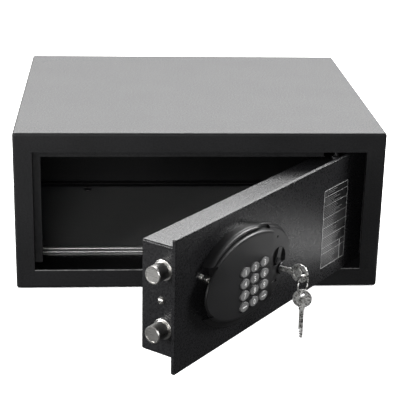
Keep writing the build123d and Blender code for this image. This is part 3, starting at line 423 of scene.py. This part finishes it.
def add_digit(bm, mark):
    """The outline of a digit, centred, in the XY plane, raised by the ink's thickness."""
    curve = bpy.data.curves.new("digit", "FONT")
    curve.body = mark
    curve.size = DIGIT_HEIGHT * MM * FONT_PER_HEIGHT
    curve.align_x = "CENTER"
    curve.align_y = "CENTER"
    curve.offset = DIGIT_HEIGHT * MM * STROKE_PER_HEIGHT
    curve.extrude = INK * MM / 2
    holder = bpy.data.objects.new("digit", curve)
    bpy.context.scene.collection.objects.link(holder)
    bpy.context.view_layer.update()
    evaluated = holder.evaluated_get(bpy.context.evaluated_depsgraph_get())
    mesh = bpy.data.meshes.new_from_object(evaluated)
    xs = [v.co.x for v in mesh.vertices]
    ys = [v.co.y for v in mesh.vertices]
    shift = Vector((-(min(xs) + max(xs)) / 2, -(min(ys) + max(ys)) / 2, INK * MM / 2))
    mesh.transform(Matrix.Translation(shift))
    bm.from_mesh(mesh)
    bpy.data.objects.remove(holder)
    bpy.data.meshes.remove(mesh)
    bpy.data.curves.remove(curve)


def add_key_marks():
    for number, mark in enumerate(KEY_MARKS):
        x = KEY_X0 + KEY_PITCH_X * (number % KEY_COLUMNS)
        z = KEY_Z0 - KEY_PITCH_Z * (number // KEY_COLUMNS)
        bm = bmesh.new()
        if mark == "-":
            add_flat_strip(bm, -BAR_HALF, BAR_HALF, -BAR_THICK_HALF, BAR_THICK_HALF)
        elif mark == ">":
            add_arrow(bm)
        else:
            add_digit(bm, mark)
        bm.transform(door_frame_at(x, KEY_FACE_DEPTH, z))
        add_piece(f"key_mark_{number + 1:02d}", bm, f"key_cap_{number + 1:02d}",
                  KEY_INK)


# ---- print on the sheet, in mm on the closed door ----

SHEET_FACE_DEPTH = -0.3             # face of the sheet, in front of the door
FIELD_X0, FIELD_X1 = 98.4, 156.1    # the printed field
FIELD_Z0, FIELD_Z1 = 42.9, 142.6
FRAME_LINE = 0.7                    # width of the line round the field
SHEET_RULES = (134.0, 122.5, 107.0, 94.5, 82.0, 69.0, 61.5)
RULE_HALF = 0.25
COLUMN_X0, COLUMN_X1 = 142.5, 143.6     # the upright rule in the lowest rows
COLUMN_TOP = 68.7

DASH_SEED = 7
DASH_TOP = 3.0                      # from the field's top to the first row
DASH_FOOT = 2.0                     # from the last row to the field's foot, at least
DASH_PITCH = 2.15
DASH_HALF = 0.42
DASH_THICK = 0.02
DASH_INDENT = 2.2
DASH_RULE_GAP = 1.3                 # rows nearer to a rule than this stay empty
ROW_REACH = (24, 46)
DASH_LENGTH = (1.2, 4.2)
DASH_SPACE = (0.5, 0.9)


def add_sheet_rules():
    """The frame and the rules of a printed table."""
    bm = bmesh.new()
    inner_x0, inner_x1 = FIELD_X0 + FRAME_LINE, FIELD_X1 - FRAME_LINE
    for a, b in ((FIELD_X0, inner_x0), (inner_x1, FIELD_X1)):
        add_flat_strip(bm, a, b, FIELD_Z0, FIELD_Z1)
    for a, b in ((FIELD_Z0, FIELD_Z0 + FRAME_LINE), (FIELD_Z1 - FRAME_LINE, FIELD_Z1)):
        add_flat_strip(bm, inner_x0, inner_x1, a, b)
    for z in SHEET_RULES:
        add_flat_strip(bm, inner_x0, inner_x1, z - RULE_HALF, z + RULE_HALF)
    add_flat_strip(bm, COLUMN_X0, COLUMN_X1, FIELD_Z0 + FRAME_LINE, COLUMN_TOP)
    bm.transform(door_frame_at(0, SHEET_FACE_DEPTH, 0))
    add_piece("sheet_rules", bm, "door", SHEET_INK)


def add_sheet_dashes():
    """Short dashes in rows: the look of small print with nothing to read."""
    draw = random.Random(DASH_SEED)
    bm = bmesh.new()
    z = FIELD_Z1 - DASH_TOP
    while z > FIELD_Z0 + DASH_FOOT:
        if min(abs(z - rule) for rule in SHEET_RULES) >= DASH_RULE_GAP:
            x = FIELD_X0 + DASH_INDENT
            limit = FIELD_X0 + draw.uniform(*ROW_REACH)
            while x < limit:
                length = draw.uniform(*DASH_LENGTH)
                add_flat_strip(bm, x, min(x + length, limit), z - DASH_HALF, z + DASH_HALF,
                               DASH_THICK)
                x += length + draw.uniform(*DASH_SPACE)
        z -= DASH_PITCH
    bm.transform(door_frame_at(0, SHEET_FACE_DEPTH, 0))
    add_piece("sheet_dashes", bm, "door", SHEET_GREY)


add_key_marks()
add_sheet_rules()
add_sheet_dashes()


# ---- floor, light and camera ----

FLOOR_SIZE = 12.0
FLOOR_Z = -0.0004
FLOOR_GLOW = 0.8
SHADE_X = 0.224                     # half sizes of the unlit patch beneath the cabinet
SHADE_Y = 0.199
WHITE = (1, 1, 1, 1)
WORLD_LIGHT = 0.062
WORLD_SEEN = 1.1                    # what the camera sees of the background


def floor_material():
    """A glowing white floor, unlit beneath the cabinet so that its holes stay dark."""
    s = Shader("studio_floor")
    s.constant(specular=0.1)
    cloud = s.noise(scale=3, detail=3.0, rough=0.5)
    s.colour(s.ramp(cloud, (0.3, (0.86, 0.86, 0.86)), (0.7, (0.92, 0.92, 0.92))))
    s.rough(s.remap(cloud, (0.3, 0.7), (0.8, 0.9)))
    s.bsdf.inputs["Emission Strength"].default_value = FLOOR_GLOW
    beside = s.math("GREATER_THAN", s.math("ABSOLUTE", s.axis("X")), SHADE_X)
    clear = s.math("GREATER_THAN", s.math("ABSOLUTE", s.axis("Y")), SHADE_Y)
    s.link(s.mix(s.math("MAXIMUM", beside, clear), (0.01, 0.01, 0.01), (1, 1, 1)),
           s.bsdf.inputs["Emission Color"])
    return s.mat


def add_floor():
    bm = bmesh.new()
    bmesh.ops.create_grid(bm, x_segments=2, y_segments=2, size=FLOOR_SIZE)
    floor = add_object("studio_floor", bm, floor_material())
    floor.location.z = FLOOR_Z
    floor.visible_glossy = False
    floor.visible_diffuse = False


def add_world():
    """A dim surround for the part, seen as plain white by the camera."""
    world = bpy.data.worlds.new("studio")
    world.use_nodes = True
    bpy.context.scene.world = world
    tree = world.node_tree
    around = tree.nodes["Background"]
    around.inputs["Color"].default_value = WHITE
    around.inputs["Strength"].default_value = WORLD_LIGHT
    seen = tree.nodes.new("ShaderNodeBackground")
    seen.inputs["Color"].default_value = WHITE
    seen.inputs["Strength"].default_value = WORLD_SEEN
    mix = tree.nodes.new("ShaderNodeMixShader")
    path = tree.nodes.new("ShaderNodeLightPath")
    tree.links.new(path.outputs["Is Camera Ray"], mix.inputs["Fac"])
    tree.links.new(around.outputs[0], mix.inputs[1])
    tree.links.new(seen.outputs[0], mix.inputs[2])
    tree.links.new(mix.outputs[0], tree.nodes["World Output"].inputs["Surface"])


# Name, place, point aimed at, width, height, watts.
LIGHTS = (
    ("high_behind", (0.0, 2.4, 2.6), (0, 0, 0.15), 4.0, 1.6, 262),
    ("low_behind", (0.0, 2.6, 1.5), (0, 0, 0.15), 5.0, 2.4, 65),
    ("front_left", (-1.6, -1.6, 0.9), (0, -0.3, 0.1), 1.0, 1.0, 19),
    ("left_side", (-2.2, -0.6, 0.5), (0, -0.3, 0.1), 0.8, 0.8, 56),
    ("front_high", (-0.35, -2.7, 1.12), (0, 0, 0.05), 0.7, 0.3, 8.6),
    ("front_low", (-0.4, -2.6, 0.35), (0, 0, 0.1), 1.2, 0.5, 12),
    ("right_low", (1.5, 0.1, 0.75), (0.1, -0.4, 0.1), 0.5, 0.4, 32),
    ("floor_glow", (0.325, -0.2, 0.003), (0.325, -0.2, 1.0), 0.12, 0.15, 0.12),
    ("floor_left", (-0.42, -0.5, 0.003), (-0.42, -0.5, 1.0), 0.3, 0.3, 0.09),
)


def add_area_light(name, place, aim, width, height, watts):
    data = bpy.data.lights.new(name, "AREA")
    data.shape = "RECTANGLE"
    data.size = width
    data.size_y = height
    data.energy = watts
    light = bpy.data.objects.new(name, data)
    light.location = place
    light.rotation_mode = "QUATERNION"
    light.rotation_quaternion = (Vector(aim) - Vector(place)).to_track_quat("-Z", "Y")
    light.visible_camera = False
    bpy.context.scene.collection.objects.link(light)


CAMERA_PLACE = (-0.1014, -1.5826, 0.6170)
CAMERA_YAW = math.radians(4.19)
CAMERA_PITCH = math.radians(19.89)
CAMERA_ROLL = math.radians(1.27)
CAMERA_LENS = 109.0                 # mm
CAMERA_SENSOR = 36.0
CAMERA_NEAR = 0.05                  # m
CAMERA_FAR = 60


def add_camera():
    ahead = Vector((math.sin(CAMERA_YAW) * math.cos(CAMERA_PITCH),
                    math.cos(CAMERA_YAW) * math.cos(CAMERA_PITCH), -math.sin(CAMERA_PITCH)))
    right = Vector((math.cos(CAMERA_YAW), -math.sin(CAMERA_YAW), 0))
    up = right.cross(ahead)
    turned_right = right * math.cos(CAMERA_ROLL) + up * math.sin(CAMERA_ROLL)
    turned_up = up * math.cos(CAMERA_ROLL) - right * math.sin(CAMERA_ROLL)
    data = bpy.data.cameras.new("camera")
    data.sensor_width = CAMERA_SENSOR
    data.lens = CAMERA_LENS
    data.clip_start = CAMERA_NEAR
    data.clip_end = CAMERA_FAR
    camera = bpy.data.objects.new("camera", data)
    bpy.context.scene.collection.objects.link(camera)
    rotation = Matrix((turned_right, turned_up, -ahead)).transposed()
    camera.matrix_world = Matrix.Translation(CAMERA_PLACE) @ rotation.to_4x4()
    bpy.context.scene.camera = camera


add_floor()
add_world()
for light_row in LIGHTS:
    add_area_light(*light_row)
add_camera()
bpy.context.scene.view_settings.view_transform = "Standard"
bpy.context.scene.view_settings.look = "None"
